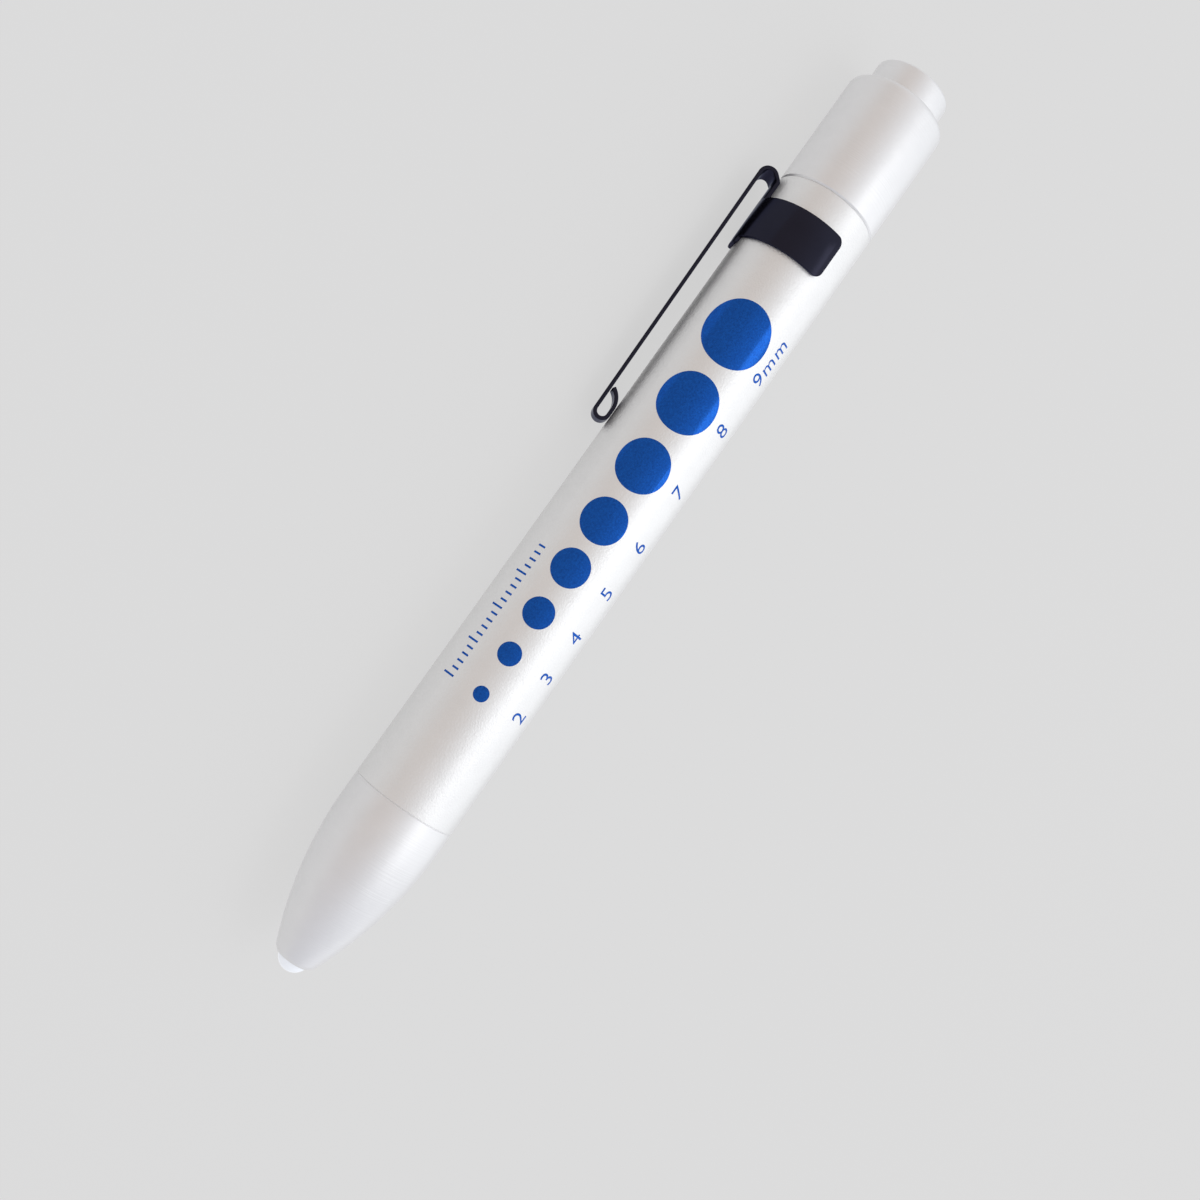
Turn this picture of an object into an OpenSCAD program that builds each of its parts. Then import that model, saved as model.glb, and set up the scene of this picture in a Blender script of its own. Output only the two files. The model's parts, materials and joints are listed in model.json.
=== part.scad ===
// Pupil-gauge penlight: a slim aluminium pen torch for two AAA cells, with a push button in its tail cap.
// The pen is modelled along its own turning axis, nose tip at z = 0 and tail at +z, with the clip
// towards +x. The lay() module then puts it down on a table, on its clip, with the beam along +x.

/* [Body] */
// Length of the nose from its rim to the seam
nose_l = 23.3; // [22.6:0.1:30]
// Straight length of the nose at its seam
nose_land_l = 2.8; // [1:0.1:6]
// Outside diameter of the nose at its rim
nose_tip_d = 5.1; // [5:0.1:7]
// Chamfer round the rim
rim_chamfer = 0.3; // [0.1:0.05:0.35]
// Thickness of the rim in front of the lens flange
rim_wall = 1.3; // [0.8:0.1:1.8]
// How far the barrel's tail seam lies behind the cells
tail_room = 4.73; // [3.6:0.01:10]
// Length of the tail cap from its seam to its end
cap_l = 16.5; // [15.5:0.1:24]
// Thickness of the end wall that holds the button in
cap_end_wall = 1.8; // [1:0.1:2.4]
// Radius round the end of the tail cap
cap_edge_r = 0.8; // [0.2:0.1:1]
// Small chamfer on both sides of the nose seam
nose_seam_chamfer = 0.1; // [0.05:0.05:0.3]
// Chamfer on both sides of the tail seam, where a thumb nail starts the cap
tail_seam_chamfer = 0.2; // [0.1:0.05:0.3]

/* [Thread necks] */
// Length of the neck that the tail cap screws on
neck_l = 6; // [5:0.1:7]
// Wall of the neck below its thread
neck_wall = 0.55; // [0.4:0.05:0.7]
// Depth of the thread
thread_h = 0.3; // [0.2:0.05:0.35]
// Wall of the nose and the tail cap outside the thread
cap_wall = 0.7; // [0.5:0.05:2.7]

/* [Cells] */
// Diameter of one cell
cell_d = 10.5; // [9.5:0.1:10.7]
// Length of one cell with its positive nub
cell_l = 44.5; // [43:0.1:45.2]
// Diameter of the positive nub
nub_d = 3.8; // [3:0.1:5]
// Height of the positive nub
nub_h = 1; // [0.8:0.1:1.5]
// Diameter of the negative end plate
cell_base_d = 7.6; // [6:0.1:8]
// Wall of the seal round the negative end plate
cell_seal_t = 0.5; // [0.3:0.05:0.6]
// Depth of the pocket that the seal and the end plate sit in
cell_pocket_h = 1; // [0.6:0.1:2]
// How far the negative end plate stands proud of the rim
cell_base_proud = 0.2; // [0.1:0.05:0.4]
// Thickness of the plastic sleeve on the can
cell_sleeve_t = 0.15; // [0.1:0.01:0.3]
// Chamfer on the edges of the can
can_edge = 0.4; // [0.2:0.05:0.5]

/* [Light] */
// Diameter of the domed lens
lens_d = 4.2; // [3.4:0.1:4.2]
// How far the dome stands out of the nose
lens_proud = 1.45; // [0.8:0.05:1.7]
// Diameter of the flange that holds the lens behind the rim
lens_flange_d = 5; // [4.8:0.1:5]
// Thickness of that flange
lens_flange_t = 0.8; // [0.5:0.1:1]
// Diameter of the light-emitting diode
led_d = 5; // [4:0.1:5.1]
// Length of the diode from its flange to the top of its dome
led_h = 8.6; // [8:0.1:9]
// Diameter of the diode's flange
led_flange_d = 5.8; // [5.4:0.1:6.4]
// Thickness of the diode's flange
led_flange_t = 1; // [0.6:0.1:1.2]
// Gap between the lens and the diode's dome
led_gap = 0.4; // [0.2:0.1:0.8]
// Side of a square diode lead
lead_w = 0.5; // [0.4:0.05:0.6]
// Distance between the two leads
lead_pitch = 2.54; // [2.4:0.01:2.6]
// How far the leads stand out behind the board
lead_tail = 0.7; // [0.4:0.1:1]
// Outside diameter of the bush behind the diode
holder_d = 8.4; // [8.2:0.1:8.8]
// Bore of the bush round the leads and the resistor
holder_bore_d = 6.2; // [6:0.1:6.8]
// Length of the bush from the diode to the board
holder_l = 5; // [4:0.1:8]
// Thickness of the bush's front wall
holder_wall = 1.4; // [0.8:0.1:2]
// Thickness of the round circuit board
board_t = 1; // [0.8:0.1:1.2]
// Length of the chip resistor
resistor_l = 3.2; // [2:0.1:3.6]
// Width of the chip resistor
resistor_w = 1.6; // [1.2:0.1:1.8]
// Height of the chip resistor
resistor_h = 0.6; // [0.4:0.05:1]
// Height of the contact spring between the board and the front cell
front_spring_h = 4; // [3.4:0.1:4.4]
// Mean diameter of the contact spring at the board
front_spring_base_d = 6; // [5:0.1:7]
// Mean diameter of the contact spring at the nub
front_spring_tip_d = 2.6; // [2:0.1:3.2]
// Curls of the contact spring
front_spring_curls = 3; // [2:1:4]

/* [Clip] */
// Thickness of the spring-steel sheet
clip_t = 0.5; // [0.3:0.05:0.5]
// Width of the arm at the bend
clip_w = 4.2; // [3:0.1:5]
// Width of the arm at its tip
clip_tip_w = 2.8; // [2:0.1:4]
// Gap inside the bend, where a pocket edge goes
clip_gap = 1.8; // [1.8:0.05:2.6]
// Length of the band along the barrel
band_l = 6; // [4:0.1:10]
// Angle that the band wraps round the barrel
band_wrap = 242; // [200:1:280]
// Corner radius of the band's ends
band_corner_r = 1.1; // [0.4:0.1:2]
// Distance from the band to the tail seam
band_to_seam = 4; // [3.6:0.1:10]
// How far the base tab reaches in front of the band
base_lead = 0.8; // [0.5:0.1:3]
// How far the base reaches behind the band before it bends
base_tail = 2.5; // [1.8:0.1:3]
// Length of the base that is flat, just before the bend
base_flat_l = 0.8; // [0.5:0.1:1.5]
// Corner radius at the front of the base tab
base_corner_r = 0.9; // [0.3:0.1:1.2]
// Length of the arm between its two bends
arm_l = 36.5; // [25:0.1:50]
// Angle that the arm leans in towards the barrel
arm_lean = 0.7; // [0.2:0.1:1]
// Flat length under the curl, where the arm rests on the barrel
curl_flat_l = 1.5; // [0.8:0.1:2.5]
// Angle at which the tongue turns up inside the curl
tongue_angle = 45; // [30:1:50]
// Length of that tongue
tongue_l = 1.5; // [1:0.1:1.5]

/* [Switch] */
// Diameter of the push button
button_d = 10.5; // [9.4:0.1:10.7]
// How far the button stands out of the tail cap
button_proud = 3.8; // [2.5:0.1:6]
// Edge radius of the button
button_edge_r = 0.4; // [0.2:0.1:0.8]
// Thickness of the button's end
button_end = 1.2; // [0.8:0.1:2]
// Width of the shoulder that keeps the button in the cap
button_shoulder = 0.35; // [0.2:0.05:0.45]
// Thickness of that shoulder
button_shoulder_t = 1; // [0.6:0.1:1.4]
// Wall of the hollow button
button_wall = 0.9; // [0.7:0.05:1.1]
// Diameter of the boss in the button that holds the plunger
boss_d = 5; // [4.6:0.1:5.6]
// How far the button is pressed to close the switch
press_travel = 1.5; // [0.8:0.1:2.2]
// Diameter of the contact plunger
plunger_d = 3; // [2.4:0.1:3.6]
// Chamfer round the plunger's tip
plunger_chamfer = 0.15; // [0.05:0.05:0.3]
// Diameter of the collar that the return spring pushes on
collar_d = 7.8; // [7.4:0.1:8]
// Thickness of that collar
collar_t = 1; // [0.6:0.1:1.4]
// Length of the guide hole for the plunger
guide_l = 6; // [4:0.1:7]
// Bore of the guide sleeve round the return spring
guide_bore_d = 8.6; // [8.2:0.1:9]
// Thickness of the guide sleeve's flange
guide_flange_t = 1; // [0.8:0.1:1.4]
// Thickness of the snap ring that holds the guide sleeve in the cap
snap_t = 0.5; // [0.4:0.05:0.6]
// Radial width of the snap ring
snap_w = 0.75; // [0.6:0.05:0.8]
// Depth of the snap ring's groove
snap_groove = 0.35; // [0.2:0.05:0.4]
// Open angle of the snap ring
snap_open = 40; // [20:1:80]
// Mean diameter of the return spring
return_spring_d = 6.6; // [6:0.1:7]
// Curls of the return spring
return_spring_curls = 7; // [5:1:8]

/* [Fits] */
// Wire diameter of both springs
wire_d = 0.5; // [0.4:0.05:0.55]
// Radial gap between a cell and the barrel
cell_gap = 0.15; // [0.1:0.05:0.3]
// Radial gap of a fit that turns or slides
run_gap = 0.05; // [0.03:0.01:0.08]
// Gap between faces that seat on each other
seat_gap = 0.05; // [0.02:0.01:0.1]
// Radial gap of pieces that are pressed together
press_gap = 0.02; // [0.01:0.01:0.04]

/* [Hidden] */
$fn = 96;

// Radii that follow from the sizes above: the pen is built outwards from its cells
cell_r = cell_d / 2;
bore_r = cell_r + cell_gap;
neck_r = bore_r + neck_wall;
mouth_r = neck_r + thread_h + run_gap;
body_r = mouth_r + cap_wall;
body_d = 2 * body_r;
can_r = cell_r - cell_sleeve_t - press_gap;
lens_r = lens_d / 2;
rim_bore_r = lens_r + run_gap;
led_bore_r = max(led_d, lens_flange_d) / 2 + run_gap;
holder_bore_in_nose_r = holder_d / 2 + run_gap;
board_r = neck_r - run_gap;
button_r = button_d / 2;
button_hole_r = button_r + run_gap;
shoulder_r = button_hole_r + button_shoulder;
cavity_r = shoulder_r + run_gap;
snap_out_r = cavity_r + snap_groove - run_gap;
snap_in_r = snap_out_r - snap_w;
plunger_r = plunger_d / 2;

// Places along the axis, from the nose rim at 0 backwards. What the nose holds is stacked first,
// then the cells, and the barrel is as long as they need.
ogive_z = nose_l - nose_land_l;
lens_flange_z = rim_wall + seat_gap;
lens_rear_z = lens_flange_z + lens_flange_t;
led_top_z = lens_rear_z + led_gap;
led_base_z = led_top_z + led_h;
led_flange_z = led_base_z - led_flange_t;
led_seat_z = led_flange_z - seat_gap;
holder_front_z = led_base_z + seat_gap;
holder_rear_z = holder_front_z + holder_l;
board_front_z = holder_rear_z + seat_gap;
board_seat_z = board_front_z - seat_gap;
board_rear_z = board_front_z + board_t;
neck_front_z = board_rear_z + seat_gap;
front_cell_z = board_rear_z + front_spring_h;
rear_cell_z = front_cell_z + cell_l + press_gap;
stack_end_z = rear_cell_z + cell_l;
barrel_l = stack_end_z + tail_room - nose_l;
tail_seam_z = nose_l + barrel_l;
neck_rear_z = tail_seam_z + neck_l;
cap_end_z = tail_seam_z + cap_l;
button_end_z = cap_end_z + button_proud;
guide_front_z = stack_end_z + seat_gap;
guide_floor_z = guide_front_z + guide_l;
snap_front_z = neck_rear_z + 2 * seat_gap + snap_groove;
guide_flange_z = snap_front_z + snap_t + seat_gap;
guide_rear_z = guide_flange_z + guide_flange_t;
cap_shoulder_z = cap_end_z - cap_end_wall;
button_front_z = cap_shoulder_z - seat_gap - button_shoulder_t;
button_floor_z = button_end_z - button_end;
collar_front_z = button_front_z;
collar_rear_z = collar_front_z + collar_t;
plunger_tip_z = stack_end_z + press_travel + seat_gap;

// The nose is an arc that meets its straight land smoothly and ends at the rim
nose_drop = (body_d - nose_tip_d) / 2;
ogive_r = (ogive_z * ogive_z + nose_drop * nose_drop) / (2 * nose_drop);
ogive_facets = 360;

// The diode's two leads: the wide anvil carries the chip, the thin post takes its wire
anvil_h = 2;
anvil_top_z = led_top_z + led_d / 2 + anvil_h / 2;
anvil_w = lead_pitch / 2 + lead_w;
post_w = 0.8;
chip_d = 0.8;
chip_h = 0.3;

// The resistor lies beside the leads, and its plated ends stand a hair proud
resistor_end = 0.5;
plating = 0.05;
resistor_y = lead_w + resistor_w / 2;

// The clip stands off the barrel by a running gap and is bent from one sheet along its mid-line.
// Its base tab is rolled with the band and turns flat just before the bend, a hair above the tab's
// crown. The curl's radius is kept to whole microns, so that its bends and the straight runs meet
// edge to edge.
crown_lift = 0.02;
clip_in_r = body_r + run_gap;
clip_out_r = clip_in_r + clip_t;
sheet_h = clip_in_r + crown_lift + clip_t / 2;
bend_r = (clip_gap + clip_t) / 2;
band_rear_z = tail_seam_z - band_to_seam;
band_front_z = band_rear_z - band_l;
base_front_z = band_front_z - base_lead;
bend_z = band_rear_z + base_tail;
tab_rear_z = bend_z + clip_t / 2;
tab_w = clip_w + 2 * crown_lift;
arm_end_h = sheet_h + bend_r * (1 + cos(arm_lean)) - arm_l * sin(arm_lean);
curl_r = round(1000 * (arm_end_h - sheet_h) / (1 + cos(arm_lean))) / 1000;
clip_top_h = sheet_h + 2 * bend_r + clip_t / 2;

// On a table the pen rests on the band and on the edge of the clip, which sets how far it rolls
table_drop = clip_out_r;
clip_roll = asin(table_drop / norm([clip_top_h, clip_w / 2])) - atan2(clip_w / 2, clip_top_h);
clip_reach = clip_top_h * cos(clip_roll) + clip_w / 2 * sin(clip_roll);
centre_z = (button_end_z - lens_proud) / 2;

// Tubes swept along a helix have 8 rings a curl and 6 sides
curl_rings = 8;
tube_sides = 6;

module lay() {
    translate([centre_z, (clip_reach - body_r) / 2, table_drop])
        rotate([90 + clip_roll, 0, 0])
            rotate([0, -90, 0])
                children();
}

// One step of a turned profile, from radius r_in to r_out between two places on the axis
module step(r_out, z0, z1, r_in = 0) {
    translate([r_in, z0]) square([r_out - r_in, z1 - z0]);
}

// A diamond that takes a chamfer of size c off the corner at radius r and place z
module chamfer(r, z, c) {
    translate([r, z]) rotate(45) square(c * sqrt(2), center = true);
}

module turned() {
    rotate_extrude() children();
}

// Sheet bent along its mid-line: each run or bend draws itself and moves on to what follows.
// A run may taper from width w0 to w1, and a bend keeps the width w.
module run(l, w0, w1) {
    rotate([90, 0, 0]) linear_extrude(clip_t, center = true)
        polygon([[0, -w0 / 2], [l, -w1 / 2], [l, w1 / 2], [0, w0 / 2]]);
    translate([l, 0, 0]) children();
}

module bend(r, angle, w) {
    translate([0, r, 0]) {
        linear_extrude(w, center = true) intersection() {
            difference() {
                circle(r + clip_t / 2);
                circle(r - clip_t / 2);
            }
            fan(2 * (r + clip_t), -90, angle);
        }
        rotate(angle) translate([0, -r, 0]) children();
    }
}

// A fan of triangles that covers a sector of a circle
module fan(r, start, angle) {
    blades = ceil(angle / 45);
    polygon(concat([[0, 0]], [for (i = [0 : blades])
        [r * cos(start + angle * i / blades), r * sin(start + angle * i / blades)]]));
}

// Points on the mid-line of a spring of n curls, from radius r0 at its foot to r1 at its top
function coil_line(r0, r1, h, n) = [for (i = [0 : n * curl_rings])
    let (k = i / (n * curl_rings), a = 360 * i / curl_rings, r = r0 + (r1 - r0) * k)
    [r * cos(a), r * sin(a), wire_d / 2 + (h - wire_d) * k]];

// Least gap between curls, measured on the mid-line's points
function coil_gap(line) = min([for (i = [0 : len(line) - 1])
    for (j = [i + curl_rings / 2 : 1 : len(line) - 1]) norm(line[i] - line[j])]) - wire_d;

// A ring of points round point i of the line, square to the way the wire runs there
function wire_ring(line, i) =
    let (ahead = line[min(i + 1, len(line) - 1)] - line[max(i - 1, 0)],
        way = ahead / norm(ahead),
        out = [line[i][0], line[i][1], 0] / norm([line[i][0], line[i][1]]),
        up = cross(way, out))
    [for (s = [0 : tube_sides - 1])
        line[i] + wire_d / 2 * (cos(360 * s / tube_sides) * out + sin(360 * s / tube_sides) * up / norm(up))];

module coil(r0, r1, h, n) {
    line = coil_line(r0, r1, h, n);
    last = tube_sides * (len(line) - 1);
    walls = [for (i = [0 : len(line) - 2]) for (s = [0 : tube_sides - 1])
        let (a = tube_sides * i + s, b = tube_sides * i + (s + 1) % tube_sides)
        each [[a, b, b + tube_sides], [a, b + tube_sides, a + tube_sides]]];
    ends = [for (s = [1 : tube_sides - 2])
        each [[0, s + 1, s], [last, last + s, last + s + 1]]];
    echo(least_gap_between_curls = coil_gap(line));
    polyhedron(points = [for (i = [0 : len(line) - 1]) each wire_ring(line, i)],
        faces = concat(walls, ends));
}

// Nose: a turned ogive with stepped bores for the lens, the diode, its bush, the board and the neck
module nose_cone() {
    color("#d8d8d6") lay() turned() difference() {
        union() {
            step(body_r, ogive_z, nose_l);
            intersection() {
                step(body_r, 0, ogive_z);
                translate([body_r - ogive_r, ogive_z]) circle(ogive_r, $fn = ogive_facets);
            }
        }
        step(rim_bore_r, -rim_wall, nose_l);
        step(led_bore_r, rim_wall, nose_l);
        step(holder_bore_in_nose_r, led_seat_z, nose_l);
        step(neck_r, board_seat_z, nose_l);
        step(mouth_r, neck_front_z - seat_gap, nose_l + neck_l);
        chamfer(nose_tip_d / 2, 0, rim_chamfer);
        chamfer(body_r, nose_l, nose_seam_chamfer);
    }
}

// Lens: a milky rod with a half-round front, held behind the rim by its flange
module lens() {
    color("#e9edf2", 0.9) lay() turned() {
        step(lens_r, lens_r - lens_proud, lens_rear_z);
        step(lens_flange_d / 2, lens_flange_z, lens_rear_z);
        intersection() {
            translate([0, lens_r - lens_proud]) circle(lens_r);
            step(lens_r, -lens_proud, lens_r - lens_proud);
        }
    }
}

// Lead frame and chip in pen coordinates, so that the epoxy can be cast round them
module lead_frame_shape() {
    for (side = [-1, 1])
        translate([side * lead_pitch / 2 - lead_w / 2, -lead_w / 2, anvil_top_z])
            cube([lead_w, lead_w, board_rear_z + lead_tail - anvil_top_z]);
    translate([-lead_pitch / 2 - lead_w / 2, -lead_w / 2, anvil_top_z])
        cube([anvil_w + lead_w / 2, lead_w, anvil_h]);
    translate([lead_pitch / 2 - post_w + lead_w / 2, -lead_w / 2, anvil_top_z])
        cube([post_w, lead_w, anvil_h / 2]);
}

module chip_shape() {
    translate([0, 0, anvil_top_z - chip_h]) cylinder(d = chip_d, h = chip_h);
}

module led_body() {
    color("#eef0e2", 0.9) lay() difference() {
        turned() {
            step(led_d / 2, led_top_z + led_d / 2, led_base_z);
            step(led_flange_d / 2, led_flange_z, led_base_z);
            intersection() {
                translate([0, led_top_z + led_d / 2]) circle(led_d / 2);
                step(led_d / 2, led_top_z, led_top_z + led_d / 2);
            }
        }
        lead_frame_shape();
        chip_shape();
    }
}

module led_lead_frame() {
    color("silver") lay() lead_frame_shape();
}

module led_chip() {
    color("#e8c93a") lay() chip_shape();
}

// Bush that holds the diode's flange against the shoulder in the nose
module led_holder() {
    color("white") lay() difference() {
        turned() difference() {
            step(holder_d / 2, holder_front_z, holder_rear_z);
            step(holder_bore_d / 2, holder_front_z + holder_wall, holder_rear_z);
        }
        for (side = [-1, 1])
            translate([side * lead_pitch / 2, 0, holder_front_z - holder_wall])
                cylinder(r = lead_w, h = 3 * holder_wall);
    }
}

module led_board() {
    color("#1f5a38") lay() difference() {
        translate([0, 0, board_front_z]) cylinder(r = board_r, h = board_t);
        for (side = [-1, 1])
            translate([side * lead_pitch / 2, 0, board_front_z - board_t])
                cylinder(r = lead_w, h = 3 * board_t);
    }
}

// Chip resistor with plated ends, soldered to the front of the board beside the leads
module chip_resistor() {
    color("#26262a") lay()
        translate([0, resistor_y, board_front_z - resistor_h / 2]) {
            cube([resistor_l, resistor_w, resistor_h], center = true);
            for (side = [-1, 1])
                translate([side * (resistor_l - resistor_end + plating) / 2, 0, 0])
                    cube([resistor_end, resistor_w + plating, resistor_h], center = true);
        }
}

module front_spring() {
    color("#c9b26a") lay() translate([0, 0, board_rear_z])
        coil(front_spring_base_d / 2, front_spring_tip_d / 2, front_spring_h, front_spring_curls);
}

// Barrel: a drawn tube with one bore and a reduced neck at each end
module barrel() {
    color("#dcdcda") lay() turned() difference() {
        union() {
            step(body_r, nose_l, tail_seam_z);
            step(neck_r, neck_front_z, neck_rear_z);
        }
        step(bore_r, neck_front_z - neck_l, neck_rear_z + neck_l);
        chamfer(body_r, nose_l, nose_seam_chamfer);
        chamfer(body_r, tail_seam_z, tail_seam_chamfer);
    }
}

// One cell from its nub at z = 0: steel can, negative end plate, seal and plastic sleeve
module cell_can() {
    color("#c7c9cb") turned() difference() {
        union() {
            step(nub_d / 2, 0, cell_l / 2);
            step(can_r, nub_h, cell_l - cell_base_proud);
        }
        step(cell_base_d / 2 + cell_seal_t + press_gap, cell_l - cell_pocket_h, cell_l);
        chamfer(can_r, nub_h, can_edge);
        chamfer(can_r, cell_l - cell_base_proud, can_edge);
    }
}

module cell_base() {
    color("#b9bbbd") translate([0, 0, cell_l - cell_pocket_h + press_gap])
        cylinder(d = cell_base_d, h = cell_pocket_h - press_gap);
}

module cell_seal() {
    color("#2b2b2e") turned()
        step(cell_base_d / 2 + cell_seal_t, cell_l - cell_pocket_h + press_gap,
            cell_l - cell_base_proud, cell_base_d / 2 + press_gap);
}

module cell_sleeve() {
    color("#4a5560") turned()
        step(cell_r, nub_h + can_edge, cell_l - cell_base_proud - can_edge, can_r + press_gap);
}

module front_cell_can() { lay() translate([0, 0, front_cell_z]) cell_can(); }
module front_cell_base() { lay() translate([0, 0, front_cell_z]) cell_base(); }
module front_cell_seal() { lay() translate([0, 0, front_cell_z]) cell_seal(); }
module front_cell_sleeve() { lay() translate([0, 0, front_cell_z]) cell_sleeve(); }
module rear_cell_can() { lay() translate([0, 0, rear_cell_z]) cell_can(); }
module rear_cell_base() { lay() translate([0, 0, rear_cell_z]) cell_base(); }
module rear_cell_seal() { lay() translate([0, 0, rear_cell_z]) cell_seal(); }
module rear_cell_sleeve() { lay() translate([0, 0, rear_cell_z]) cell_sleeve(); }

// What a rounded corner of radius r loses, with the corner at the origin
module corner(r) {
    difference() {
        translate([-r, -r]) square(2 * r);
        translate([r, r]) circle(r);
        translate([r, -2 * r]) square(4 * r);
        translate([-2 * r, r]) square(4 * r);
    }
}

// What the rolled sheet loses beside the base tab, between two places
module beside_tab(z0, z1) {
    translate([0, 0, z0]) linear_extrude(z1 - z0) difference() {
        square(4 * clip_out_r, center = true);
        translate([0, -tab_w / 2]) square([4 * clip_out_r, tab_w]);
    }
}

// What a corner of the rolled sheet loses where its edge lies on the x axis and its end at place z
module round_end(z, r, rear = 0) {
    translate([0, 0, z]) mirror([0, 0, rear]) mirror([0, 1, 0])
        rotate([90, 0, 90]) linear_extrude(2 * clip_out_r) corner(r);
}

// The rolled part of the sheet: the band, and the base tab that runs out of it to the front and the rear
module clip_band() {
    difference() {
        rotate(-band_wrap / 2) rotate_extrude(angle = band_wrap)
            step(clip_out_r, base_front_z, tab_rear_z, clip_in_r);
        beside_tab(base_front_z - base_lead, band_front_z);
        beside_tab(band_rear_z, tab_rear_z + base_tail);
        for (side = [0, 1]) mirror([0, side, 0]) {
            rotate(band_wrap / 2) round_end(band_front_z, band_corner_r);
            rotate(band_wrap / 2) round_end(band_rear_z, band_corner_r, rear = 1);
            translate([0, tab_w / 2, 0]) round_end(base_front_z, base_corner_r);
        }
    }
}

// The flat blank, bent up from the end of the base to the tongue inside the curl
module clip_strip() {
    translate([bend_z - base_flat_l, sheet_h, 0])
        run(base_flat_l, clip_w, clip_w)
            bend(bend_r, 180 + arm_lean, clip_w)
                run(arm_l, clip_w, clip_tip_w)
                    bend(curl_r, 180 - arm_lean, clip_tip_w)
                        run(curl_flat_l, clip_tip_w, clip_tip_w)
                            bend(curl_r, tongue_angle, clip_tip_w)
                                run(tongue_l, clip_tip_w, clip_tip_w);
}

// Clip: one stamped sheet. A band snaps round the barrel, the base tab runs along it to the U-bend,
// and the arm comes back along the barrel to a curl that rests on it.
module clip() {
    color("#25262c") lay() {
        clip_band();
        rotate([0, -90, -90]) clip_strip();
    }
}

// Insulating sleeve in the cap: it stops the cells, guides the plunger and seats the return spring.
// Its waist behind the neck leaves room for the snap ring.
module guide_sleeve() {
    color("#e6e2d6") lay() turned() difference() {
        union() {
            step(bore_r - run_gap, guide_front_z, neck_rear_z);
            step(min(snap_in_r, bore_r) - run_gap, guide_front_z, guide_rear_z);
            step(cavity_r - run_gap, guide_flange_z, guide_rear_z);
        }
        step(plunger_r + run_gap, guide_front_z - guide_l, guide_rear_z);
        step(guide_bore_d / 2, guide_floor_z, guide_rear_z + guide_l);
    }
}

module return_spring() {
    color("#b8bcc0") lay() translate([0, 0, guide_floor_z])
        coil(return_spring_d / 2, return_spring_d / 2, collar_front_z - guide_floor_z, return_spring_curls);
}

// Tail cap: a cup with a threaded mouth, a snap-ring groove and a hole for the button
module tail_cap() {
    color("#d8d8d6") lay() turned() difference() {
        union() {
            step(body_r, tail_seam_z, cap_end_z - cap_edge_r);
            step(body_r - cap_edge_r, tail_seam_z, cap_end_z);
            translate([body_r - cap_edge_r, cap_end_z - cap_edge_r]) circle(cap_edge_r);
        }
        step(mouth_r, tail_seam_z - neck_l, neck_rear_z + seat_gap);
        step(cavity_r, tail_seam_z, cap_shoulder_z);
        step(cavity_r + snap_groove, snap_front_z - seat_gap, snap_front_z + snap_t + seat_gap);
        step(button_hole_r, tail_seam_z, button_end_z);
        chamfer(body_r, tail_seam_z, tail_seam_chamfer);
    }
}

module snap_ring() {
    color("#9aa0a6") lay() rotate(snap_open / 2) rotate_extrude(angle = 360 - snap_open)
        step(snap_out_r, snap_front_z, snap_front_z + snap_t, snap_in_r);
}

// Button: a hollow cup with a shoulder that stays inside the cap and a boss for the plunger
module button() {
    color("#d8d8d6") lay() turned() difference() {
        union() {
            step(button_r, button_front_z, button_end_z - button_edge_r);
            step(button_r - button_edge_r, button_front_z, button_end_z);
            translate([button_r - button_edge_r, button_end_z - button_edge_r]) circle(button_edge_r);
            step(shoulder_r, button_front_z, button_front_z + button_shoulder_t);
        }
        step(button_r - button_wall, button_front_z - button_end, collar_rear_z + seat_gap);
        step(button_r - button_wall, button_front_z, button_floor_z, boss_d / 2);
        step(plunger_r + press_gap, button_front_z, button_floor_z);
    }
}

// Brass plunger: its tip touches the rear cell when the button is pressed
module contact_plunger() {
    color("#c9a24a") lay() turned() difference() {
        union() {
            step(plunger_r, plunger_tip_z, button_floor_z - seat_gap);
            step(collar_d / 2, collar_front_z, collar_rear_z);
        }
        chamfer(plunger_r, plunger_tip_z, plunger_chamfer);
    }
}

nose_cone();
lens();
led_body();
led_lead_frame();
led_chip();
led_holder();
led_board();
chip_resistor();
front_spring();
barrel();
front_cell_can();
front_cell_base();
front_cell_seal();
front_cell_sleeve();
rear_cell_can();
rear_cell_base();
rear_cell_seal();
rear_cell_sleeve();
clip();
guide_sleeve();
return_spring();
tail_cap();
snap_ring();
button();
contact_plunger();
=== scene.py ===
# %% [markdown]
# # A pupil-gauge penlight
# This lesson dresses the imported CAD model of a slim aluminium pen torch. The CAD model is the fixed frame:
# it says where each piece is and how it moves. Here the pieces that the eye rests on are turned again with
# finer meshes, the print and the threads are added, and every piece gets the finish of its real material.

# %% Load the frame
import json
import math

import bmesh
import bpy
from mathutils import Matrix, Vector


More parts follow.
